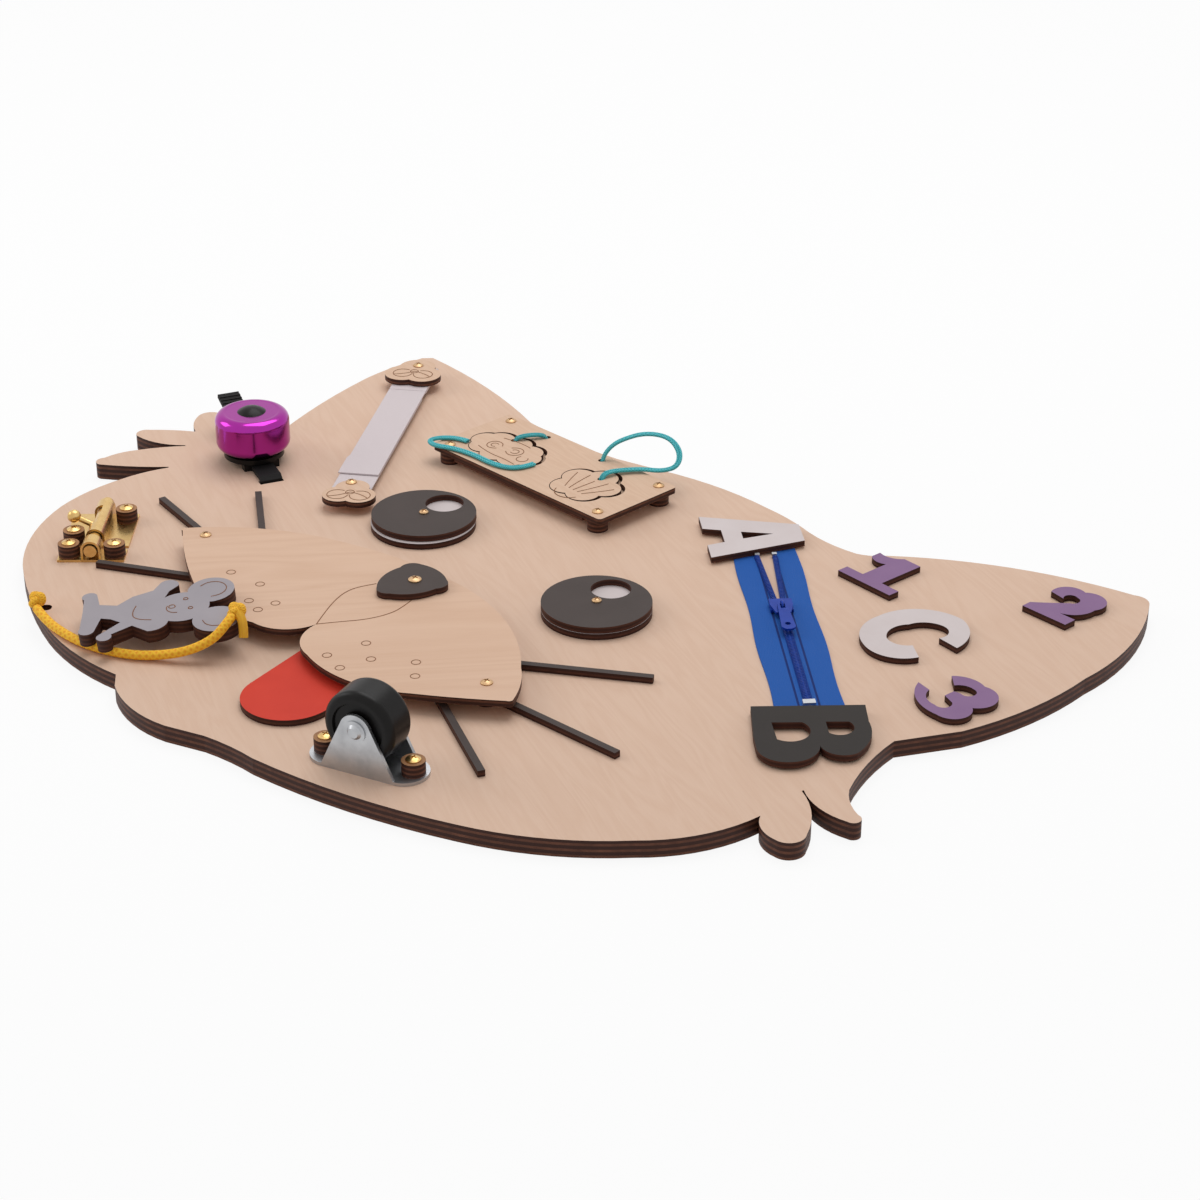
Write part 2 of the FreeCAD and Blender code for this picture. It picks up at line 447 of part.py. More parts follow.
near_band = band([(-13.6, 9.8), (-26.4, 9.8), (-28, 8.6), (-28, 1.6), (-26.6, 1.2), (21.6, 1.2), (23, 2.2),
                  (23, 12.0), (24.4, 17.0), (28.5, 22.6), (43, 26.0)], 11.0, 2.0)
ribs = [Part.makeBox(1.0, 11.0, 0.7, V(29.0 + 2.6 * k, -5.5, 23.5 + 0.61 * k)) for k in range(5)]
strap = near_band.multiFuse(ribs).removeSplitter()
strap.rotate(V(0, 0, 0), V(0, 0, 1), STRAP_DIRECTION)
strap.translate(V(BELL[0], BELL[1], 0))
group("bell_strap", [strap])

# Barrel bolt: plate with a stamped tunnel, the sliding bolt with its knob, and the keeper
def latch(solid):
    solid.rotate(V(0, 0, 0), V(0, 0, 1), LATCH_TURN)
    solid.translate(V(LATCH[0], LATCH[1], 0))
    return solid


LATCH_TOP = TOP + 1.2
BOLT_AXIS = LATCH_TOP + 4.0


def tunnel(start, end, inner, outer):
    """A stamped half tube with straight legs down to its plate."""
    along = V(1, 0, 0)
    shell = Part.makeCylinder(outer, end - start, V(start, 0, BOLT_AXIS), along)
    shell = shell.fuse(Part.makeBox(end - start, 2 * outer, BOLT_AXIS - LATCH_TOP, V(start, -outer, LATCH_TOP)))
    shell = shell.cut(Part.makeBox(end - start, 2 * inner, BOLT_AXIS - LATCH_TOP, V(start, -inner, LATCH_TOP)))
    shell = shell.cut(Part.makeCylinder(inner, end - start, V(start, 0, BOLT_AXIS), along))
    return shell.common(Part.makeBox(end - start, 20, 20, V(start, -10, LATCH_TOP)))


flange = Part.makeBox(34, 31, 1.2, V(-24, -15.5, TOP))
for x, y in ((5, -10.6), (-18, 10.6), (5, 10.6), (-18, -10.6)):
    flange = flange.cut(cylinder(x, y, TOP, TOP + 2, 1.6))
group("latch_plate", [latch(flange)])
barrel = tunnel(-24, 9.5, 3.4, 4.4)
barrel = barrel.cut(Part.makeBox(17.6, 6, 9, V(-16.4, -6, BOLT_AXIS - 2.6)))
group("latch_barrel", [latch(barrel)])
rod = Part.makeCylinder(S["bolt_radius"], 52, V(-28, 0, BOLT_AXIS), V(1, 0, 0))
stem_way = V(0, -math.cos(math.radians(28)), math.sin(math.radians(28)))
rod = rod.fuse(Part.makeCylinder(1.4, 11, V(-1.4, 0, BOLT_AXIS), stem_way))
rod = rod.fuse(Part.makeSphere(3.2, V(-1.4, 0, BOLT_AXIS) + stem_way * 12.6))
group("latch_bolt", [latch(rod)])
keeper = Part.makeBox(11.5, 31, 1.2, V(13.2, -15.5, TOP))
for y in (-10.6, 10.6):
    keeper = keeper.cut(cylinder(19, y, TOP, TOP + 2, 1.6))
keeper = keeper.fuse(tunnel(15, 23, 3.6, 4.6))
group("latch_keeper", [latch(keeper)])

# Caster: bent bracket, riveted axle and a turning wheel
def caster(solid):
    solid.rotate(V(0, 0, 0), V(0, 0, 1), CASTER_TURN)
    solid.translate(V(CASTER[0], CASTER[1], 0))
    return solid


SHEET = S["metal_sheet"]
AXLE_Z = S["axle_height"]
foot = prism([(-18, -10.2), (18, -10.2), (26.8, 0, 18, 10.2), (-18, 10.2), (-26.8, 0, -18, -10.2)], TOP, TOP + SHEET)
for x in (-20.6, 20.6):
    foot = foot.cut(cylinder(x, 0, TOP, TOP + SHEET, 1.6))
cheek_outline = [(-16.8, TOP + SHEET), (16.8, TOP + SHEET), (6.6, AXLE_Z + 2.8), (0, AXLE_Z + 7.4, -6.6, AXLE_Z + 2.8)]
cheek = Part.Face(Part.Wire([edge.toShape() for edge in edges_of(cheek_outline)]))
cheek.rotate(V(0, 0, 0), V(1, 0, 0), 90)
bracket = foot
for y in (-10.2 + SHEET, 10.2):
    wall = cheek.copy()
    wall.translate(V(0, y, 0))
    bracket = bracket.fuse(wall.extrude(V(0, -SHEET, 0)))
bracket = bracket.cut(Part.makeCylinder(S["axle_radius"], 30, V(0, -15, AXLE_Z), V(0, 1, 0)))
group("caster_bracket", [caster(bracket)])
axle = Part.makeCylinder(S["axle_radius"], 23, V(0, -11.5, AXLE_Z), V(0, 1, 0))
for side in (-1, 1):
    axle = axle.fuse(Part.makeCylinder(4.9, 0.5, V(0, 10.2 * side, AXLE_Z), V(0, side, 0)))
    axle = axle.fuse(Part.makeCone(3.4, 2.2, 1.2, V(0, 10.6 * side, AXLE_Z), V(0, side, 0)))
group("caster_axle", [caster(axle)])
half = S["wheel_width"] / 2
wheel_radius, bore = S["wheel_radius"], S["axle_bore"]
wheel_path = [(bore, -half + 0.3), (5.4, -half + 0.3), (6, -half + 1.2), (11, -half + 1.2), (11.6, -half),
              (wheel_radius - 3, -half), (wheel_radius - 0.9, -half + 0.9, wheel_radius, -half + 3),
              (wheel_radius, half - 3), (wheel_radius - 0.9, half - 0.9, wheel_radius - 3, half),
              (11.6, half), (11, half - 1.2), (6, half - 1.2), (5.4, half - 0.3), (bore, half - 0.3)]
wheel = Part.Face(Part.Wire([edge.toShape() for edge in edges_of(wheel_path)]))
wheel = wheel.revolve(V(0, 0, 0), V(0, 1, 0), 360)
wheel.translate(V(0, 0, AXLE_Z))
group("caster_wheel", [caster(wheel)])

# Washers and screws: turned wood spacers, with wood screws through them into the board
rings = []
for places, low in ((MUZZLE_SCREWS, TOP), (PLATE_SCREWS, TOP), (LATCH_SCREWS + KEEPER_SCREWS, LATCH_TOP),
                    (CASTER_SCREWS, TOP + SHEET)):
    rings += [ring(x, y, low + step * PLY, low + (step + 1) * PLY, S["washer_radius"], 1.6)
              for x, y in places for step in (0, 1)]
rings += [ring(x, y, TOP, TOP + PLY, 4.6, 1.6) for x, y in (STRAP_TOP, STRAP_FOOT)]
group("wood_spacers", rings)
group("nose_spacer", [ring(*NOSE_PIVOT, TOP + PLY, RAISED, S["washer_radius"], 1.6)])
plate_seat = RAISED + PLY
strap_seat = TOP + 2 * PLY + S["strip"] + 0.1
eye_seat = TOP + 2 * PLY + 2 * S["face_gap"]
latch_seat = LATCH_TOP + S["washer_stack"]
caster_seat = TOP + SHEET + S["washer_stack"]
group("raised_plate_screws", [screw(x, y, plate_seat, plate_seat - 2) for x, y in MUZZLE_SCREWS + PLATE_SCREWS])
group("nose_screw", [screw(*NOSE_PIVOT, plate_seat + PLY + 2 * S["face_gap"], plate_seat + PLY - 2, 3.0)])
group("face_screws", [screw(x, y, eye_seat, eye_seat - 2, 2.2) for x, y in (EYE_LEFT, EYE_RIGHT)]
      + [screw(*STRAP_FOOT, strap_seat, strap_seat - 2), screw(*STRAP_TOP, strap_seat + 0.9, strap_seat - 1.1)])
group("hardware_screws", [screw(x, y, latch_seat, latch_seat - 2, 3.2) for x, y in LATCH_SCREWS + KEEPER_SCREWS]
      + [screw(x, y, caster_seat, caster_seat - 2, 3.2) for x, y in CASTER_SCREWS])

# Mouse: a loose plywood toy, its head on the muzzle's edge and its feet on the board
MOUSE_TILT = 4.9
MOUSE_FOOT_Y = -183.0
HEAD, EAR_UP, EAR_LOW = (-54.2, -143.9), (-56.6, -126.6), (-34.4, -139.4)
mouse_body = [(-75.4, -144.6), (-78.4, -138.6), (-76.4, -133.4, -70.6, -134.4), (-69.6, -140), (-60, -154),
              (-52.3, -153), (-46.4, -159, -48.4, -166), (-57.4, -168), (-58.2, -178.4),
              (-57, -184.6, -61.6, -183.4), (-63.6, -170), (-69, -171.4), (-72.8, -174), (-66, -182),
              (-66.6, -187, -72, -185.6), (-82.8, -177), (-91.6, -170.6), (-95.4, -166, -90.6, -164.2),
              (-83, -168), (-76.6, -163), (-77.8, -154)]
thick = S["mouse_thickness"]
mouse = prism(mouse_body, 0, thick)
for (x, y), radius in ((HEAD, 12.2), (EAR_UP, 10.4), (EAR_LOW, 10.4)):
    mouse = mouse.fuse(cylinder(x, y, 0, thick, radius))
CORD_EYE = (-30.6, -134.4)
mouse = mouse.removeSplitter().cut(cylinder(*CORD_EYE, -1, thick + 1, 2.4))
mouse.rotate(V(0, MOUSE_FOOT_Y, 0), V(1, 0, 0), MOUSE_TILT)
mouse.translate(V(0, 0, TOP + 4.7))
group("mouse", [mouse])


def tube(name, route, diameter):
    """A free cord: straight runs joined by arcs as large as their runs allow."""
    points = [V(*p) for p in route]
    corners = []
    for a, b, c in zip(points, points[1:], points[2:]):
        into, out = (b - a), (c - b)
        turn = into.getAngle(out)
        radius = 0.45 * min(into.Length, out.Length) / math.tan(turn / 2)
        cut = radius * math.tan(turn / 2)
        into.normalize()
        out.normalize()
        start, end = b - into * cut, b + out * cut
        bend = out - into
        bend.normalize()
        middle = b + bend * (radius / math.cos(turn / 2) - radius)
        corners.append((start, middle, end, radius))
    edges, here = [], points[0]
    for start, middle, end, radius in corners:
        edges.append(Part.LineSegment(here, start).toShape())
        edges.append(Part.Arc(start, middle, end).toShape())
        here = end
    edges.append(Part.LineSegment(here, points[-1]).toShape())
    path = Part.Wire(edges)
    way = points[1] - points[0]
    profile = Part.Wire([Part.makeCircle(diameter / 2, points[0], way)])
    solid = path.makePipeShell([profile], True, False)
    print(name, "length", round(path.Length, 1), "volume ratio",
          round(solid.Volume / (math.pi * diameter ** 2 / 4 * path.Length), 4),
          "least radius / diameter", round(min(c[3] for c in corners) / diameter, 2))
    group(name, [solid])


# Cords: the mouse's cord with a knot at each end, and the laces of the two inlays
BOARD_KNOT, MOUSE_KNOT = V(-118.2, -179.6, TOP + 4.4), V(-28.9, -133.0, 26.0)
CORD_ROUTE = [(-114.4, -182.2, 10.6), (-103.4, -184.6, 10.2), (-90.0, -185.4, 10.2), (-76.0, -184.4, 10.2),
              (-62.0, -180.4, 10.2), (-50.0, -173.8, 10.2), (-40.6, -165.6, 11.0), (-31.8, -157.4, 13.6),
              (-25.0, -149.0, 18.6), (-24.4, -141.6, 24.2), (-26.9, -136.9, 25.3)]
tube("mouse_cord", CORD_ROUTE, S["cord_diameter"])
knot = Part.makeSphere(4.3, BOARD_KNOT).fuse(cylinder(*CORD_HOLE, 2.0, TOP + 3, 2.1))
group("board_knot", [knot])
group("mouse_knot", [Part.makeSphere(4.3, MOUSE_KNOT).cut(mouse)])
tube("lace_right", [(-51.9, 101.2, 14.0), (-51.5, 102.0, 19.0), (-49.6, 105.2, 24.0), (-45.6, 108.6, 28.0), (-37.6, 117.0, 32.0),
                    (-27.0, 123.6, 31.4), (-18.0, 122.8, 26.6), (-14.6, 117.6, 21.4), (-19.8, 112.2, 18.9),
                    (-28.4, 107.0, 18.7), (-34.4, 98.4, 18.7), (-36.2, 90.6, 19.4), (-36.0, 86.9, 17.6), (-36.0, 86.4, 14.4)],
     S["lace_diameter"])
tube("lace_left_short", [(-90.3, 99.6, 14.0), (-90.5, 99.1, 17.6), (-92.4, 95.4, 19.2), (-96.4, 88.2, 19.2),
                         (-98.4, 84.9, 17.6), (-98.6, 84.4, 14.4)], S["lace_diameter"])
tube("lace_left_long", [(-69.6, 72.6, 18.0), (-69.8, 66.0, 18.1), (-74.4, 59.8, 18.1), (-84.0, 57.2, 18.1),
                        (-97.0, 57.4, 18.1), (-110.0, 54.8, 18.1), (-119.4, 49.4, 18.1), (-125.6, 51.6, 18.1),
                        (-124.6, 57.6, 18.1), (-118.4, 64.0, 18.1), (-111.6, 65.4, 18.1)], S["lace_diameter"])

doc.recompute()
for item in doc.Objects:
    assert "Invalid" not in item.State and "Error" not in item.State, (item.Name, item.State)
os.makedirs("parts", exist_ok=True)
for name, item in nodes.items():
    shape = item.Shape
    assert not shape.isNull() and shape.isValid(), name
    shape.exportStep(os.path.join("parts", name + ".step"))
print(len(nodes), "nodes")
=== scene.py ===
import math

import bpy
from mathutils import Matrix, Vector


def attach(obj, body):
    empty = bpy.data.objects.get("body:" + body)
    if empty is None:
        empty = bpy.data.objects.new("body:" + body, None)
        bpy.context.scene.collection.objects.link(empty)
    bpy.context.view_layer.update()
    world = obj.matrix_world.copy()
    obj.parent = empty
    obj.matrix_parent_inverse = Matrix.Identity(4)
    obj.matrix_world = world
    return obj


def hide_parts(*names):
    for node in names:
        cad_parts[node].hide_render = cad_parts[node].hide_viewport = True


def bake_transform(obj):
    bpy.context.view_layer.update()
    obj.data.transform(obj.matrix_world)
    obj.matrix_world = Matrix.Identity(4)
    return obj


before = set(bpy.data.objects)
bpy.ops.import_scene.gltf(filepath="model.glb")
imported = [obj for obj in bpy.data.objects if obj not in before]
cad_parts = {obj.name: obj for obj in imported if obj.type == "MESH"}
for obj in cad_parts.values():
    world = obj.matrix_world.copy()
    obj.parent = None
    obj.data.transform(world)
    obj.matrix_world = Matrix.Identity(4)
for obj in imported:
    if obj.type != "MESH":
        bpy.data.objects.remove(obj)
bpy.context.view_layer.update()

# The photographer's place: a long lens at the board's lower right, looking down at the face.
camera = bpy.data.objects.new("camera", bpy.data.cameras.new("camera"))
camera.data.lens = 81
camera.data.sensor_width = 36
camera.location = (0.8457, -0.7079, 0.5789)
camera.rotation_mode = "QUATERNION"
camera.rotation_quaternion = Vector((-0.6568, 0.5914, -0.4679)).to_track_quat("-Z", "Y")
bpy.context.collection.objects.link(camera)
scene = bpy.context.scene
scene.camera = camera
scene.view_settings.view_transform = "Standard"


def feed(tree, socket, value):
    """Sets a socket to a plain value, or links another socket to it."""
    if isinstance(value, (int, float, tuple)):
        socket.default_value = value
    else:
        tree.links.new(value, socket)


def put(tree, kind, **settings):
    """A shader node with its settings and its input values."""
    made = tree.nodes.new("ShaderNode" + kind)
    for key, value in settings.items():
        if hasattr(made, key):
            setattr(made, key, value)
        else:
            feed(tree, made.inputs[key.replace("_", " ")], value)
    return made


def calc(tree, operation, *values):
    """The result of one arithmetic node."""
    made = put(tree, "Math", operation=operation)
    for socket, value in zip(made.inputs, values):
        feed(tree, socket, value)
    return made.outputs[0]


def blend_colours(tree, factor, first, second):
    """The first colour where the factor is 0, and the second where it is 1."""
    made = put(tree, "Mix", data_type="RGBA")
    for socket, value in zip((made.inputs[0], made.inputs[6], made.inputs[7]), (factor, first, second)):
        feed(tree, socket, value)
    return made.outputs[2]


def srgb(red, green, blue):
    """A colour as seen on a screen, made linear for the shader."""
    parts = [part / 255 for part in (red, green, blue)]
    return tuple(p / 12.92 if p < 0.04 else ((p + 0.055) / 1.055) ** 2.4 for p in parts) + (1,)


def seen_by_lens(tree):
    """1 for rays from the camera, mirrors and clear pieces, and 0 for the room's soft light."""
    ray = put(tree, "LightPath")
    direct = calc(tree, "MAXIMUM", ray.outputs["Is Camera Ray"], ray.outputs["Is Glossy Ray"])
    return calc(tree, "MAXIMUM", direct, ray.outputs["Is Transmission Ray"])


def new_piece(name, points, faces):
    """A mesh piece from points in metres."""
    mesh = bpy.data.meshes.new(name)
    mesh.from_pydata(points, [], faces)
    mesh.validate()
    mesh.update()
    made = bpy.data.objects.new(name, mesh)
    bpy.context.collection.objects.link(made)
    return made


# White sweep of paper that the board lies on, in a white room, with a soft box above it and
# one at its left. Paper and room look white to the lens, and give the board less light.
floor = new_piece("floor", [(-6, -6, 0), (6, -6, 0), (6, 6, 0), (-6, 6, 0)], [(0, 1, 2, 3)])
floor.location.z = -0.0003
paper = bpy.data.materials.new("white_paper")
paper.use_nodes = True
tree = paper.node_tree
surface = tree.nodes["Principled BSDF"]
surface.inputs["Roughness"].default_value = 0.9
fibres = put(tree, "TexNoise", Scale=40.0)
tree.links.new(blend_colours(tree, fibres.outputs[0], (0.86, 0.86, 0.86, 1), (0.9, 0.9, 0.9, 1)),
               surface.inputs["Base Color"])
glow = put(tree, "Emission", Strength=1.0)
mixed = put(tree, "MixShader")
tree.links.new(calc(tree, "MULTIPLY", seen_by_lens(tree), 0.9), mixed.inputs[0])
tree.links.new(surface.outputs[0], mixed.inputs[1])
tree.links.new(glow.outputs[0], mixed.inputs[2])
tree.links.new(mixed.outputs[0], tree.nodes["Material Output"].inputs[0])
floor.data.materials.append(paper)

ROOM_LIGHT = 0.45
world = bpy.data.worlds.new("studio")
scene.world = world
world.use_nodes = True
tree = world.node_tree
room = tree.nodes["Background"]
room.inputs["Color"].default_value = (1, 1, 1, 1)
strength = calc(tree, "MULTIPLY_ADD", seen_by_lens(tree), 1 - ROOM_LIGHT, ROOM_LIGHT)
tree.links.new(strength, room.inputs["Strength"])
for name, place, size, power in (("soft_box_above", (-0.3, 0.5, 1.5), 1.2, 13.0),
                                 ("soft_box_left", (-1.3, -0.9, 0.9), 0.8, 5.0)):
    lamp = bpy.data.objects.new(name, bpy.data.lights.new(name, "AREA"))
    lamp.data.size = size
    lamp.data.energy = power
    lamp.location = place
    lamp.rotation_mode = "QUATERNION"
    lamp.rotation_quaternion = (-Vector(place)).to_track_quat("-Z", "Y")
    bpy.context.collection.objects.link(lamp)


def effect(name, inputs, outputs):
    """An empty shader group with named sockets, its input node and its output node."""
    group = bpy.data.node_groups.new(name, "ShaderNodeTree")
    for way, sockets in (("INPUT", inputs), ("OUTPUT", outputs)):
        for label, kind in sockets.items():
            group.interface.new_socket(name=label, in_out=way, socket_type="NodeSocket" + kind)
    return group, group.nodes.new("NodeGroupInput"), group.nodes.new("NodeGroupOutput")


def use(tree, group, **values):
    """The group placed in a material with its own values."""
    made = put(tree, "Group")
    made.node_tree = group
    for key, value in values.items():
        feed(tree, made.inputs[key.replace("_", " ")], value)
    return made


def finish_for(name, roughness, metallic=0.0, shine=0.5):
    """A new material with its Principled shader's steady values."""
    made = bpy.data.materials.new(name)
    made.use_nodes = True
    shader = made.node_tree.nodes["Principled BSDF"]
    shader.inputs["Roughness"].default_value = roughness
    shader.inputs["Metallic"].default_value = metallic
    shader.inputs["Specular IOR Level"].default_value = shine
    return made, made.node_tree, shader


def raise_surface(tree, shader, height, distance, strength):
    """Fine relief on a material, from a height between 0 and 1."""
    bump = put(tree, "Bump", Distance=distance, Strength=strength, Height=height)
    tree.links.new(bump.outputs[0], shader.inputs["Normal"])


def noise(tree, place, **settings):
    """Soft noise over the given coordinates."""
    return put(tree, "TexNoise", Vector=place, **settings).outputs[0]


def own_place(tree):
    """A piece's own coordinates, which it keeps as it moves."""
    return put(tree, "TexCoord").outputs["Object"]


def turned_place(tree, angle):
    """A piece's own coordinates, turned about the upright axis."""
    return put(tree, "VectorRotate", rotation_type="Z_AXIS", Vector=own_place(tree), Angle=angle).outputs[0]


def parts_of(tree, vector):
    """The three parts of a vector."""
    return put(tree, "SeparateXYZ", Vector=vector).outputs


# Weave of braided cord and lace: strands that slant both ways and cross, counted along the
# curve's own length and round it. Its colour carries painted shade: the Dark colour in the
# hollows between strands, the Light one on their crowns.
STRANDS_ROUND = 4.0
braid, braid_in, braid_out = effect("braid", {"Turns": "Float", "Light": "Color", "Dark": "Color"},
                                    {"Color": "Color", "Height": "Float"})
lengthwise, crosswise, _ = parts_of(braid, put(braid, "TexCoord").outputs["UV"])
along = calc(braid, "MULTIPLY", lengthwise, braid_in.outputs["Turns"])
around = calc(braid, "MULTIPLY", crosswise, STRANDS_ROUND)
strands = [calc(braid, "SINE", calc(braid, "MULTIPLY", calc(braid, slant, along, around), math.tau))
           for slant in ("ADD", "SUBTRACT")]
relief = calc(braid, "MULTIPLY_ADD", calc(braid, "MAXIMUM", *strands), 0.5, 0.5)
# Colour follows the relief: painted shade in the hollows between the strands.
braid.links.new(blend_colours(braid, relief, braid_in.outputs["Dark"], braid_in.outputs["Light"]),
                braid_out.inputs["Color"])
braid.links.new(relief, braid_out.inputs["Height"])


def cord_finish(name, light, dark, turns, roughness):
    """Braided thread, with its strands' number along the whole cord, and painted shade between the strands."""
    made, tree, shader = finish_for(name, roughness)
    weave = use(tree, braid, Turns=turns, Light=srgb(*light), Dark=srgb(*dark))
    tree.links.new(weave.outputs["Color"], shader.inputs["Base Color"])
    raise_surface(tree, shader, weave.outputs["Height"], 0.0003, 0.8)
    return made


def add_route(curve, route, cyclic=False):
    """One smooth line in a curve, led by control points given in millimetres."""
    line = curve.splines.new("NURBS")
    line.points.add(len(route) - 1)
    for point, (x, y, z) in zip(line.points, route):
        point.co = (x / 1000, y / 1000, z / 1000, 1)
    line.order_u = 3
    line.use_endpoint_u = not cyclic
    line.use_cyclic_u = cyclic


def spline(name, route, radius, cyclic=False):
    """A round thread, its route and radius given in millimetres."""
    curve = bpy.data.curves.new(name, "CURVE")
    curve.dimensions = "3D"
    curve.bevel_depth = radius / 1000
    curve.bevel_resolution = 4
    curve.resolution_u = 10
    curve.use_fill_caps = True
    add_route(curve, route, cyclic)
    made = bpy.data.objects.new(name, curve)
    bpy.context.collection.objects.link(made)
    return made


def mesh_of(made):
    """The mesh that a curve draws. The curve itself goes."""
    graph = bpy.context.evaluated_depsgraph_get()
    mesh = bpy.data.meshes.new_from_object(made.evaluated_get(graph))
    bpy.data.objects.remove(made)
    return mesh


def as_mesh(made):
    """The same piece as a smoothly shaded mesh."""
    name = made.name
    mesh = mesh_of(made)
    mesh.shade_smooth()
    piece = bpy.data.objects.new(name, mesh)
    bpy.context.collection.objects.link(piece)
    return piece


def centre_line(route):
    """Points along the smooth line itself, in metres."""
    return [tuple(vertex.co) for vertex in mesh_of(spline("bare_line", route, 0.0)).vertices]


# Yellow cord that ties the mouse to the board: soft braided polyester, knotted at a hole in
# the board's edge and again on the mouse's ear, with a short cut tail.
yellow_cord = cord_finish("yellow_braid", (255, 198, 44), (240, 156, 14), 38.0, 0.7)
CORD_RADIUS, KNOT_RADIUS, KNOT_SIZE = 2.1, 1.9, 0.95
CORD_ROUTE = [(-114.4, -182.2, 10.6), (-103.4, -184.6, 10.2), (-90.0, -185.4, 10.2), (-76.0, -184.4, 10.2),
              (-62.0, -180.4, 10.2), (-50.0, -173.8, 10.2), (-40.6, -165.6, 11.0), (-31.8, -157.4, 13.6),
              (-25.0, -149.0, 18.6), (-24.4, -141.6, 24.2), (-26.9, -136.9, 25.3)]
TAIL_ROUTE = [(-27.5, -133.4, 26.0), (-24.0, -134.0, 25.0), (-20.8, -135.2, 21.6), (-19.6, -136.4, 17.6)]


def knot(name, centre, body, tilt):
    """A pulled-tight overhand knot in the yellow cord."""
    turns = []
    for step in range(24):
        t = math.tau * step / 24
        x, y, z = math.sin(t) + 2 * math.sin(2 * t), math.cos(t) - 2 * math.cos(2 * t), -math.sin(3 * t)
        y, z = y * math.cos(tilt) - z * math.sin(tilt), y * math.sin(tilt) + z * math.cos(tilt)
        turns.append(tuple(middle + part * KNOT_SIZE for middle, part in zip(centre, (x, y, z))))
    made = spline(name, turns, KNOT_RADIUS, cyclic=True)
    made.data.materials.append(yellow_cord)
    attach(made, body)
    return made


board_knot = knot("cord_knot_board", (-118.2, -179.6, 12.9), "board", 0.5)
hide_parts("board_knot")
mouse_knot = knot("cord_knot_mouse", (-28.9, -133.0, 26.2), "mouse_toy", 0.3)
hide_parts("mouse_knot")
tail = spline("cord_tail", TAIL_ROUTE, CORD_RADIUS)
tail.data.materials.append(yellow_cord)
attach(tail, "mouse_toy")
cord = as_mesh(spline("mouse_tether", CORD_ROUTE, CORD_RADIUS))
cord.data.materials.append(yellow_cord)
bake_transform(cord)
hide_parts("mouse_cord")
cord_path = centre_line(CORD_ROUTE)

# Laces: waxed turquoise cord in two strands, through the holes of the lacing plate and its
# two inlays. Those that are tied to an inlay are made as meshes in place, the others are
# attached to the board. The short one is under 30 mm.
lace_finish = cord_finish("turquoise_lace", (74, 200, 205), (20, 140, 160), 70.0, 0.45)
LACE_RADIUS = 0.8
LACES = {
    "lace_right": ([(-51.9, 101.2, 14.0), (-51.5, 102.0, 19.0), (-49.6, 105.2, 24.0), (-45.6, 108.6, 28.0),
                    (-37.6, 117.0, 32.0), (-27.0, 123.6, 31.4), (-18.0, 122.8, 26.6), (-14.6, 117.6, 21.4),
                    (-19.8, 112.2, 18.9), (-28.4, 107.0, 18.7), (-34.4, 98.4, 18.7), (-36.2, 90.6, 19.4),
                    (-36.0, 86.9, 17.6), (-36.0, 86.4, 14.4)], "object", "inlay_right"),
    "lace_left_long": ([(-69.6, 72.6, 18.0), (-69.8, 66.0, 18.1), (-74.4, 59.8, 18.1), (-84.0, 57.2, 18.1),
                        (-97.0, 57.4, 18.1), (-110.0, 54.8, 18.1), (-119.4, 49.4, 18.1), (-125.6, 51.6, 18.1),
                        (-124.6, 57.6, 18.1), (-118.4, 64.0, 18.1), (-111.6, 65.4, 18.1)], "bare", None),
    "lace_left_short": ([(-90.3, 99.6, 14.0), (-90.5, 99.1, 17.6), (-92.4, 95.4, 19.2), (-96.4, 88.2, 19.2),
                         (-98.4, 84.9, 17.6), (-98.6, 84.4, 14.4)], None, "inlay_left"),
}


def beside(route, gap):
    """The same route a little to its left, for one strand of a pair."""
    out = []
    for k, (x, y, z) in enumerate(route):
        a, b = route[max(k - 1, 0)], route[min(k + 1, len(route) - 1)]
        reach = gap / math.hypot(b[0] - a[0], b[1] - a[1])
        out.append((x - (b[1] - a[1]) * reach, y + (b[0] - a[0]) * reach, z))
    return out


for name, (route, end, inlay) in LACES.items():
    for strand, gap in (("first", -LACE_RADIUS), ("second", LACE_RADIUS)):
        path = beside(route, gap)
        line = centre_line(path)
        lace = spline(name + "_" + strand, path, LACE_RADIUS)
        lace.data.materials.append(lace_finish)
        if inlay:
            lace = as_mesh(lace)
            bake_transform(lace)
        else:
            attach(lace, "board")
        if strand == "first":
            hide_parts(name)

# Birch face: pale rotary-cut veneer with broad faint ridges and fine long pores. Both are
# noise that is stretched along the grain.
grain, grain_in, grain_out = effect(
    "birch_grain", {"Light": "Color", "Dark": "Color", "Scale": "Float", "Turn": "Float", "Contrast": "Float"},
    {"Color": "Color", "Height": "Float"})
RIDGE_STRETCH, PORE_STRETCH = (7.0, 60.0, 7.0), (60.0, 1500.0, 60.0)


def stretched(place, factors):
    """Coordinates of the grain made larger along each axis."""
    made = put(grain, "VectorMath", operation="MULTIPLY")
    feed(grain, made.inputs[0], place)
    feed(grain, made.inputs[1], factors)
    return made.outputs[0]


place = turned_place(grain, grain_in.outputs["Turn"])
figure = noise(grain, stretched(place, RIDGE_STRETCH), Scale=grain_in.outputs["Scale"], Detail=3.0,
               Roughness=0.55, Distortion=0.6)
fleck = noise(grain, stretched(place, PORE_STRETCH), Scale=1.0, Detail=2.0)
ridges = calc(grain, "FRACT", calc(grain, "MULTIPLY", figure, 9.0))
ridges = calc(grain, "ABSOLUTE", calc(grain, "SUBTRACT", ridges, 0.5))
shade = calc(grain, "ADD", calc(grain, "MULTIPLY", ridges, 0.9), calc(grain, "MULTIPLY", fleck, 0.55))
shade = calc(grain, "MULTIPLY", shade, grain_in.outputs["Contrast"])
shade.node.use_clamp = True
grain.links.new(blend_colours(grain, shade, grain_in.outputs["Light"], grain_in.outputs["Dark"]),
                grain_out.inputs["Color"])
grain.links.new(fleck, grain_out.inputs["Height"])

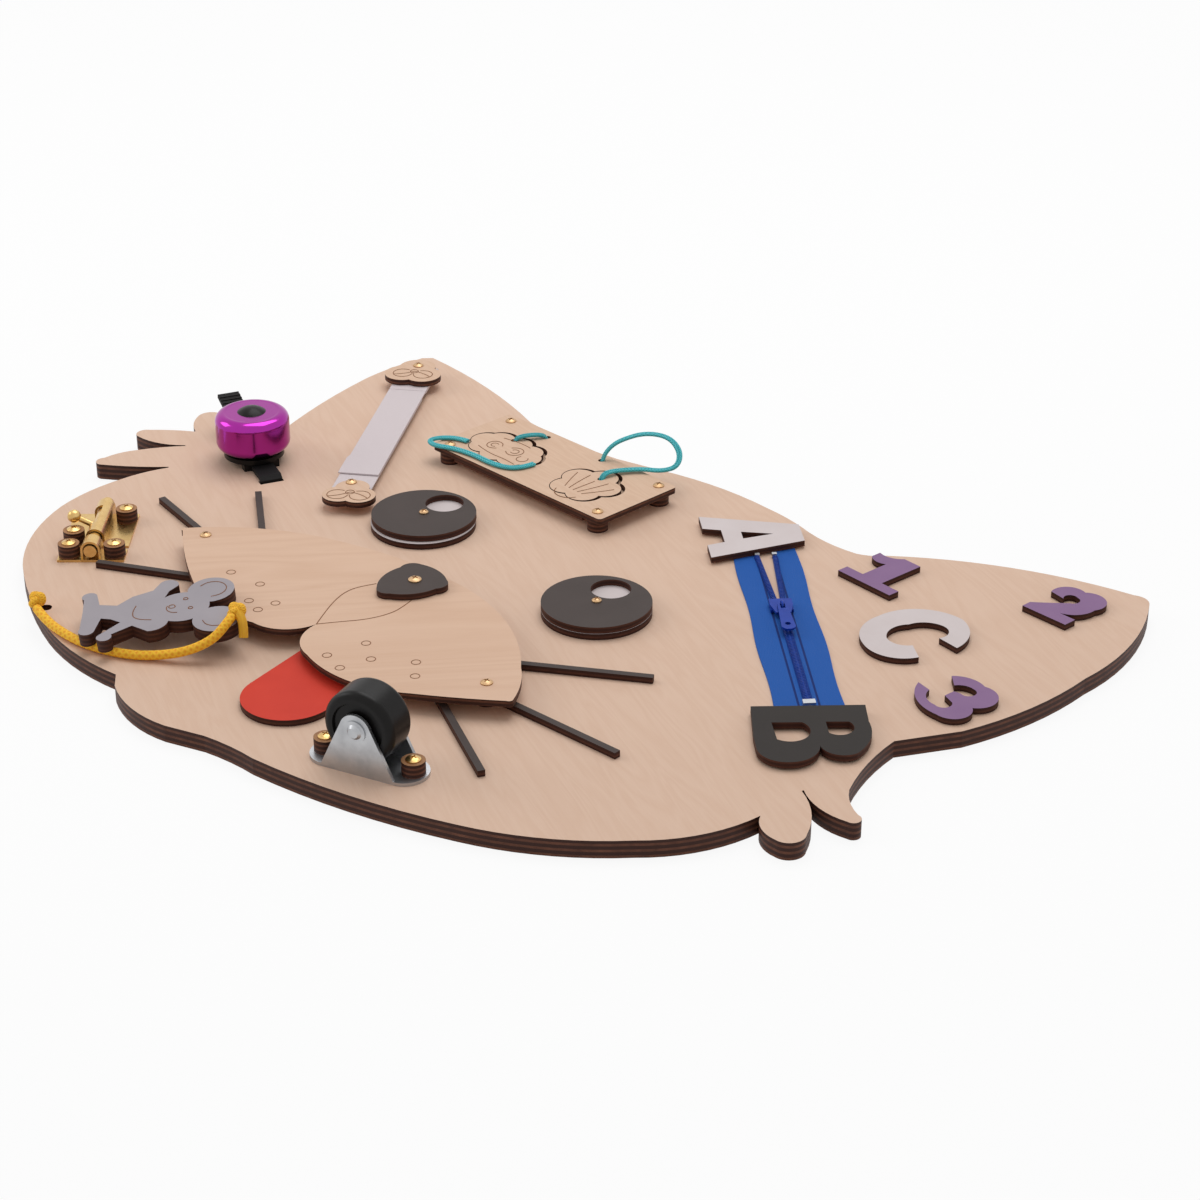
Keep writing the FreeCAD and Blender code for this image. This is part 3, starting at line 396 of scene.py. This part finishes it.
# Cut edges: burnt by the laser on every face that isn't level, with the plies as thin stripes
# under uneven soot.
LEVEL_FACE = 0.82
BURNT = srgb(58, 32, 25)
cut, cut_in, cut_out = effect(
    "laser_cut_edge", {"Face": "Color", "Burnt": "Color", "Ply": "Color", "Layer": "Float"}, {"Color": "Color"})
facing = parts_of(cut, put(cut, "TexCoord").outputs["Normal"])
edge = calc(cut, "LESS_THAN", calc(cut, "ABSOLUTE", facing[2]), LEVEL_FACE)
place = own_place(cut)
soot = noise(cut, place, Scale=220.0, Detail=2.0)
layer = calc(cut, "DIVIDE", parts_of(cut, place)[2], cut_in.outputs["Layer"])
plies = calc(cut, "SINE", calc(cut, "MULTIPLY", layer, math.pi))
stripe = calc(cut, "MULTIPLY", calc(cut, "GREATER_THAN", plies, 0.25), soot)
edge_colour = blend_colours(cut, stripe, cut_in.outputs["Burnt"], cut_in.outputs["Ply"])
cut.links.new(blend_colours(cut, edge, cut_in.outputs["Face"], edge_colour), cut_out.inputs["Color"])


def plywood(name, light, dark, scale, turn, contrast, layer=0.0011):
    """Bare plywood with burnt edges."""
    made, tree, shader = finish_for(name, 0.55, shine=0.2)
    face = use(tree, grain, Light=srgb(*light), Dark=srgb(*dark), Scale=scale, Turn=turn, Contrast=contrast)
    edges = use(tree, cut, Face=face.outputs["Color"], Burnt=BURNT, Ply=srgb(128, 82, 62), Layer=layer)
    tree.links.new(edges.outputs["Color"], shader.inputs["Base Color"])
    raise_surface(tree, shader, face.outputs["Height"], 0.00008, 0.5)
    return made


def painted(name, colour, worn):
    """Plywood painted on its face only: brush-flat colour, a little uneven, over burnt edges."""
    made, tree, shader = finish_for(name, 0.6, shine=0.18)
    place = own_place(tree)
    face = blend_colours(tree, noise(tree, place, Scale=55.0, Detail=4.0), srgb(*colour), srgb(*worn))
    edges = use(tree, cut, Face=face, Burnt=BURNT, Ply=srgb(96, 58, 44), Layer=0.0011)
    tree.links.new(edges.outputs["Color"], shader.inputs["Base Color"])
    raise_surface(tree, shader, noise(tree, place, Scale=900.0, Detail=1.0), 0.00006, 0.4)
    return made


def dress(material, *names, bevel=0.0):
    """Gives CAD nodes their material, and a fine broken edge where one is asked for."""
    for name in names:
        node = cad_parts[name]
        for slot in node.material_slots:
            slot.material = material
        if bevel:
            softened = node.modifiers.new("broken_edge", "BEVEL")
            softened.width = bevel
            softened.segments = 1
            softened.limit_method = "ANGLE"
            softened.angle_limit = math.radians(50)


# Bare birch: the head in a thick board, the muzzle with a broad figure, and the small plates.
# The thin plates have a finer broken edge than the board.
THIN_BEVEL = 0.00022
board_birch = plywood("board_birch", (224, 193, 171), (208, 170, 144), 1.0, 0.35, 0.5, 0.00135)
dress(board_birch, "base_board", bevel=0.00035)
plate_birch = plywood("plate_birch", (224, 190, 165), (194, 150, 118), 0.42, 2.2, 0.42)
dress(plate_birch, "muzzle_plate", bevel=0.00025)
small_birch = plywood("small_birch", (222, 190, 165), (198, 158, 128), 1.6, 0.1, 0.5)
dress(small_birch, "lacing_plate", "lacing_backing", "inlay_cloud", "inlay_shell", "strap_plate_upper",
      "strap_plate_lower", bevel=THIN_BEVEL)

# Lines burnt into the wood by the laser: the muzzle's middle line and its freckles. The middle
# line ends just under the nose, which turns above it.
char, tree, shader = finish_for("burnt_line", 0.85)
patchy = noise(tree, own_place(tree), Scale=300.0)
tree.links.new(blend_colours(tree, patchy, srgb(104, 64, 40), srgb(152, 106, 72)), shader.inputs["Base Color"])


def burn(name, lines, height, body, width=0.24, slope=0.0, from_y=0.0):
    """Several burnt lines as one piece, just proud of a face that is level or rises along y."""
    routes = [[(x, y, height + slope * (y - from_y)) for x, y in points] for points in lines]
    made = spline(name, routes[0], width)
    made.data.bevel_resolution = 1
    made.data.resolution_u = 8
    for route in routes[1:]:
        add_route(made.data, route)
    made.data.materials.append(char)
    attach(made, body)


def circle(x, y, radius, start=0.0, end=360.0, steps=10):
    """Points round a centre, from one angle to another."""
    angles = [math.radians(start + (end - start) * k / steps) for k in range(steps + 1)]
    return [(x + radius * math.cos(angle), y + radius * math.sin(angle)) for angle in angles]


FRECKLES = [(-75.1, -104), (-56.7, -101.1), (-47, -114.1), (-37.2, -106.7), (-37.4, -116.1), (19, -99.4),
            (16.3, -118.4), (31.6, -106.5), (28.8, -121.0), (46.6, -93.9), (55.8, -101.7)]
MUZZLE_LINES = [[(-22, -62), (-24.8, -69), (-25.2, -76), (-22.7, -83.6), (-17, -93.7), (-9.3, -105)],
                [(1, -60), (4.2, -69), (4.4, -77), (1.7, -86.6), (-4.2, -96), (-9.3, -105)]]
burn("muzzle_lines", MUZZLE_LINES, 16.9, "board", 0.3)
burn("muzzle_freckles", [circle(x, y, 2.1) for x, y in FRECKLES], 16.96, "board", 0.22)

# Plain burnt ornament on the small plates: scrolls on the cloud, ribs on the shell, leaves on
# the strap plates, and a mouse's features on the toy, whose face slopes.
INLAY_FACE = 17.06
scrolls = [circle(-101, 74, 4.2, 20, 330), circle(-101, 74, 2.0, 60, 320), circle(-88, 76, 4.6, -140, 160),
           circle(-88, 76, 2.2, -120, 170), circle(-79, 73, 3.0, 150, 420),
           [(-106, 67.5), (-96, 65.4), (-84, 66.8), (-77, 66)], [(-104, 82.5), (-94, 85.4), (-86, 84.4)]]
burn("cloud_scrolls", scrolls, INLAY_FACE, "inlay_left")
ribs = [[(-36 + 3 * k, 68.5), (-36 + 5.4 * k, 77), (-36 + 6.6 * k, 88 - abs(k) * 2.4)] for k in (-2, -1, 1, 2)]
burn("shell_ribs", ribs + [[(-36, 68.5), (-36, 76), (-36, 82.5)], circle(-36, 66.5, 7.5, 200, 340)], INLAY_FACE,
     "inlay_right")
for name, (x, y), height, turn in (("strap_lines_upper", (-203.4, 104.2), 15.76, 126),
                                   ("strap_lines_lower", (-109.6, -10.2), 14.86, 130)):
    leaves = []
    for side in (turn + 120, turn + 240):
        way = math.radians(side)
        leaves.append([(x, y), (x + 6 * math.cos(way + 0.3), y + 6 * math.sin(way + 0.3)),
                       (x + 11.5 * math.cos(way), y + 11.5 * math.sin(way))])
        leaves.append(circle(x + 6.4 * math.cos(way), y + 6.4 * math.sin(way), 5.2, side - 150, side + 150))
    leaves.append(circle(x, y, 2.2))
    burn(name, leaves, height, "board")
features = [circle(-58.5, -139.5, 1.0), circle(-50.5, -142.5, 1.0), circle(-57.5, -147.5, 1.5),
            circle(-55.5, -146.5, 4.4, 210, 330), circle(-56.6, -126.6, 6.4, -40, 200),
            circle(-34.4, -139.4, 6.4, -120, 90), [(-70, -158), (-66, -163.5), (-59.5, -164.5), (-55, -160)]]
burn("mouse_features", features, 18.68, "mouse_toy", 0.26, slope=0.0857, from_y=-183)

# Painted plywood: grey-black eyes, nose and whiskers, white eye grounds, letters and numbers,
# a red tongue and the grey mouse.
dark_paint = painted("dark_grey_paint", (76, 66, 63), (64, 55, 52))
dress(dark_paint, "eye_disc_left", "eye_disc_right", "nose", bevel=THIN_BEVEL)
dress(dark_paint, "whiskers", bevel=0.0002)
for name, colour, worn, nodes in (
        ("white_paint", (218, 208, 208), (205, 192, 190),
         ("eye_base_left", "eye_base_right", "letter_a", "letter_c")),
        ("dark_brown_paint", (44, 38, 35), (36, 31, 28), ("letter_b",)),
        ("purple_paint", (146, 114, 150), (128, 96, 136), ("number_one", "number_two", "number_three")),
        ("red_paint", (218, 68, 50), (200, 54, 40), ("tongue",))):
    dress(painted(name, colour, worn), *nodes, bevel=THIN_BEVEL)
dress(painted("grey_paint", (170, 163, 168), (154, 148, 154)), "mouse", bevel=0.00025)

# Metal and hard plastic: brass-plated screws and bolt, zinc-plated caster, the bell's anodised
# cap, the blue slider. Cloudy colour and roughness, from one noise.
tarnish, tarnish_in, tarnish_out = effect(
    "tarnish", {"Bright": "Color", "Dull": "Color", "Scale": "Float", "Smooth": "Float", "Rough": "Float"},
    {"Color": "Color", "Roughness": "Float", "Height": "Float"})
cloud = noise(tarnish, own_place(tarnish), Scale=tarnish_in.outputs["Scale"], Detail=4.0)
tarnish.links.new(blend_colours(tarnish, cloud, tarnish_in.outputs["Bright"], tarnish_in.outputs["Dull"]),
                  tarnish_out.inputs["Color"])
spread = calc(tarnish, "SUBTRACT", tarnish_in.outputs["Rough"], tarnish_in.outputs["Smooth"])
tarnish.links.new(calc(tarnish, "MULTIPLY_ADD", cloud, spread, tarnish_in.outputs["Smooth"]),
                  tarnish_out.inputs["Roughness"])
tarnish.links.new(cloud, tarnish_out.inputs["Height"])


def metal(name, bright, dull, scale, smooth, rough, bumps=0.00004, metallic=1.0):
    """Metal, or plastic where metallic is low, with faint clouds in its colour and gloss."""
    made, tree, shader = finish_for(name, 0.3, metallic, 0.5 if metallic > 0.9 else 0.16)
    skin = use(tree, tarnish, Bright=srgb(*bright), Dull=srgb(*dull), Scale=scale, Smooth=smooth, Rough=rough)
    tree.links.new(skin.outputs["Color"], shader.inputs["Base Color"])
    tree.links.new(skin.outputs["Roughness"], shader.inputs["Roughness"])
    raise_surface(tree, shader, skin.outputs["Height"], bumps, 0.5)
    return made


brass = metal("brass_plate", (232, 200, 138), (188, 148, 86), 260.0, 0.18, 0.4)
dress(brass, "latch_plate", "latch_barrel", "latch_keeper", "latch_bolt", "hardware_screws")
pale_brass = metal("pale_brass", (214, 182, 142), (160, 122, 84), 320.0, 0.32, 0.55)
dress(pale_brass, "raised_plate_screws", "face_screws", "nose_screw")
zinc = metal("zinc_plate", (205, 206, 208), (150, 152, 156), 160.0, 0.28, 0.5)
dress(zinc, "caster_bracket", "caster_axle", "bell_post", "bell_striker_spring", bevel=0.00015)
dress(zinc, "zipper_stops")
dress(metal("purple_anodised", (176, 56, 160), (150, 42, 142), 30.0, 0.1, 0.2, 0.00001), "bell_cap")
blue_enamel = metal("blue_enamel", (24, 66, 170), (14, 46, 136), 240.0, 0.25, 0.4, 0.00003, 0.25)
dress(blue_enamel, "zipper_slider", "zipper_pull")

# Black plastic and rubber: caster wheel, bell saddle, striker, cap screw and rubber strap.
# Turned wood: the spacers under raised plates and fittings.
black_plastic = metal("black_plastic", (17, 15, 15), (25, 23, 22), 420.0, 0.22, 0.42, 0.00004, 0.0)
dress(black_plastic, "caster_wheel", "bell_saddle", "bell_striker", "bell_cap_screw")
dress(metal("black_rubber", (20, 19, 19), (30, 28, 28), 600.0, 0.55, 0.8, 0.00008, 0.0), "bell_strap")
turned_wood = plywood("turned_wood", (176, 130, 90), (120, 76, 46), 3.0, 0.5, 0.7)
dress(turned_wood, "wood_spacers", "nose_spacer", bevel=0.0002)


# Woven goods: threads that cross at right angles, for the zipper's tapes and the strap, with
# painted shade where the threads dip. A strip of cloth is drawn flat, from one end of it along a
# direction on the board.
weave, weave_in, weave_out = effect(
    "woven", {"Light": "Color", "Dark": "Color", "Turn": "Float", "Pitch": "Float"},
    {"Color": "Color", "Height": "Float"})
place = parts_of(weave, turned_place(weave, weave_in.outputs["Turn"]))
count = calc(weave, "DIVIDE", math.tau, weave_in.outputs["Pitch"])
warp, weft = [calc(weave, "SINE", calc(weave, "MULTIPLY", place[axis], count)) for axis in (0, 1)]
threads_height_and_shade = calc(weave, "MULTIPLY_ADD", calc(weave, "MULTIPLY", warp, weft), 0.5, 0.5)
# Colour follows the relief: painted shade where the threads dip under each other.
weave.links.new(blend_colours(weave, threads_height_and_shade, weave_in.outputs["Dark"], weave_in.outputs["Light"]),
                weave_out.inputs["Color"])
weave.links.new(threads_height_and_shade, weave_out.inputs["Height"])


def cloth(name, light, dark, turn, pitch):
    """Woven tape, its threads turned to run along it, with painted shade between the threads."""
    made, tree, shader = finish_for(name, 0.75, shine=0.2)
    threads = use(tree, weave, Light=srgb(*light), Dark=srgb(*dark), Turn=turn, Pitch=pitch)
    tree.links.new(threads.outputs["Color"], shader.inputs["Base Color"])
    raise_surface(tree, shader, threads.outputs["Height"], 0.00025, 0.7)
    return made


def laid(start, turn, along, side, height):
    """A point in metres, from millimetres along and across a strip that starts on the board."""
    c, s = math.cos(math.radians(turn)), math.sin(math.radians(turn))
    return ((start[0] + along * c - side * s) / 1000, (start[1] + along * s + side * c) / 1000, height / 1000)


def ribbon(name, start, turn, left, right, low, high, columns, across=6):
    """A strip of cloth: left and right edges are functions of the distance along, in millimetres."""
    points = [laid(start, turn, along, left(along) + (right(along) - left(along)) * step / across, height)
              for height in (low, high) for along in columns for step in range(across + 1)]
    faces = []
    rows, wide = len(columns), across + 1
    half = rows * wide
    for row in range(rows - 1):
        for step in range(across):
            a = row * wide + step
            faces.append((a, a + 1, a + wide + 1, a + wide))
            faces.append((a + half, a + wide + half, a + wide + 1 + half, a + 1 + half))
    rim = [row * wide for row in range(rows)] + [(rows - 1) * wide + step for step in range(1, wide)]
    rim += [row * wide + across for row in range(rows - 2, -1, -1)] + list(range(across - 1, 0, -1))
    for a, b in zip(rim, rim[1:] + rim[:1]):
        faces.append((a, b, b + half, a + half))
    return new_piece(name, points, faces)


# Zipper: two woven tapes whose outer edges waver a little, each with a seam and a row of nylon
# teeth. The rows part towards the letter A, on the slider's open side.
ZIP_START, ZIP_TURN, ZIP_LENGTH, SLIDER_AT = (64.0, 99.6), -37.5, 137.0, 55.0
TAPE_START, TAPE_LENGTH, TAPE_WIDTH = -14, 165, 15.0
SEAM_FROM_MIDDLE, SEAM_HALF = 0.0044, 0.0005
FIRST_TOOTH, TOOTH_PITCH, TOOTH_MESH = 2.6, 1.34, 0.75
# One tooth in four six-sided rings: distance out from its tip, half width, underside, top.
TOOTH_RINGS = ((0.0, 0.40, 9.0, 9.8), (0.6, 0.44, 8.75, 10.15), (1.9, 0.40, 8.75, 10.1), (2.5, 0.34, 8.8, 9.5))
ZIP_LEAN = math.radians(-ZIP_TURN)
tape_cloth = cloth("blue_tape", (44, 106, 190), (20, 70, 148), ZIP_LEAN, 0.0011)
coil_finish = metal("blue_nylon", (26, 72, 168), (12, 44, 126), 300.0, 0.3, 0.45, 0.00002, 0.0)

tree = tape_cloth.node_tree
shader = tree.nodes["Principled BSDF"]
woven_colour = shader.inputs["Base Color"].links[0].from_socket
sideways = parts_of(tree, turned_place(tree, ZIP_LEAN))[1]
middle = (ZIP_START[0] * math.sin(ZIP_LEAN) + ZIP_START[1] * math.cos(ZIP_LEAN)) / 1000
off = calc(tree, "ABSOLUTE", calc(tree, "SUBTRACT", sideways, middle))
seam = calc(tree, "LESS_THAN", calc(tree, "ABSOLUTE", calc(tree, "SUBTRACT", off, SEAM_FROM_MIDDLE)), SEAM_HALF)
tree.links.new(blend_colours(tree, seam, woven_colour, srgb(10, 40, 104)), shader.inputs["Base Color"])


def coil_edge(along):
    """Distance of a coil's inner edge from the zipper's middle line."""
    return 0.25 + max(0.0, (SLIDER_AT - along) / SLIDER_AT) * 2.95


def tape_edge(along):
    """Distance of a tape's outer edge from the zipper's middle line."""
    return TAPE_WIDTH + 0.5 * math.sin(along * 0.09)


def teeth(name, sign):
    """One row of teeth. The two rows are half a pitch apart, and mesh past the slider."""
    points, faces = [], []
    along = FIRST_TOOTH + (TOOTH_PITCH / 2 if sign > 0 else 0.0)
    while along <= ZIP_LENGTH - 0.6:
        tip = coil_edge(along) - (TOOTH_MESH if along > SLIDER_AT - 4 else 0.0)
        base = len(points)
        for out, width, low, high in TOOTH_RINGS:
            ring = ((-width, low), (width, low), (width, high - 0.15), (width * 0.5, high),
                    (-width * 0.5, high), (-width, high - 0.15))
            points += [laid(ZIP_START, ZIP_TURN, along + step, sign * (tip + out), z) for step, z in ring]
        for first in (base, base + 6, base + 12):
            for k in range(6):
                a, b = first + k, first + (k + 1) % 6
                faces.append((a, b, b + 6, a + 6))
        faces.append(tuple(base + k for k in range(6)))
        faces.append(tuple(base + 18 + k for k in range(5, -1, -1)))
        along += TOOTH_PITCH
    return new_piece(name, points, faces)


stations = [TAPE_START + TAPE_LENGTH * k / 60 for k in range(61)]
for side, sign in (("left", -1), ("right", 1)):
    tape = ribbon("zipper_%s_tape" % side, ZIP_START, ZIP_TURN, lambda s, sign=sign: sign * coil_edge(s),
                  lambda s, sign=sign: sign * tape_edge(s), 8.05, 8.7, stations)
    tape.data.materials.append(tape_cloth)
    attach(tape, "board")
    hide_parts("zipper_tape_" + side)
    row = teeth("zipper_teeth_" + side, sign)
    row.data.materials.append(coil_finish)
    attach(row, "board")
    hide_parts("zipper_coil_" + side)

# Hook-and-loop strap: a white loop strip, the root of the hook strip under the upper plate,
# and the hook strip that peels off, a little wider where its end lies over the loops.
STRAP_TOP, STRAP_FOOT = (-208.0, 110.5), (-117.9, -3.0)
STRAP_TURN = math.degrees(math.atan2(STRAP_FOOT[1] - STRAP_TOP[1], STRAP_FOOT[0] - STRAP_TOP[0]))
STRAP_LENGTH = math.dist(STRAP_TOP, STRAP_FOOT)
STRIP_HALF, END_FROM, END_WIDER = 9.75, 110, 0.9
loop_cloth = cloth("white_loop_tape", (232, 222, 224), (206, 192, 194), -math.radians(STRAP_TURN), 0.0009)
for name, start, end, low, high, wider, body, node in (
        ("strap_loop_strip", 34.0, STRAP_LENGTH + 5, 11.05, 11.75, 0.0, "board", "strap_lower_strip"),
        ("strap_hook_root", -5.0, 25.5, 11.05, 12.65, 0.0, "board", "strap_upper_root"),
        ("strap_hook_strip", 25.8, STRAP_LENGTH - 15, 11.95, 12.65, END_WIDER, "flap", "strap_flap")):
    stations = [start + (end - start) * k / 30 for k in range(31)]
    strip = ribbon(name, STRAP_TOP, STRAP_TURN,
                   lambda s, wider=wider: -STRIP_HALF - (wider if s > END_FROM else 0.0),
                   lambda s: STRIP_HALF, low, high, stations)
    strip.data.materials.append(loop_cloth)
    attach(strip, body)
    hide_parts(node)
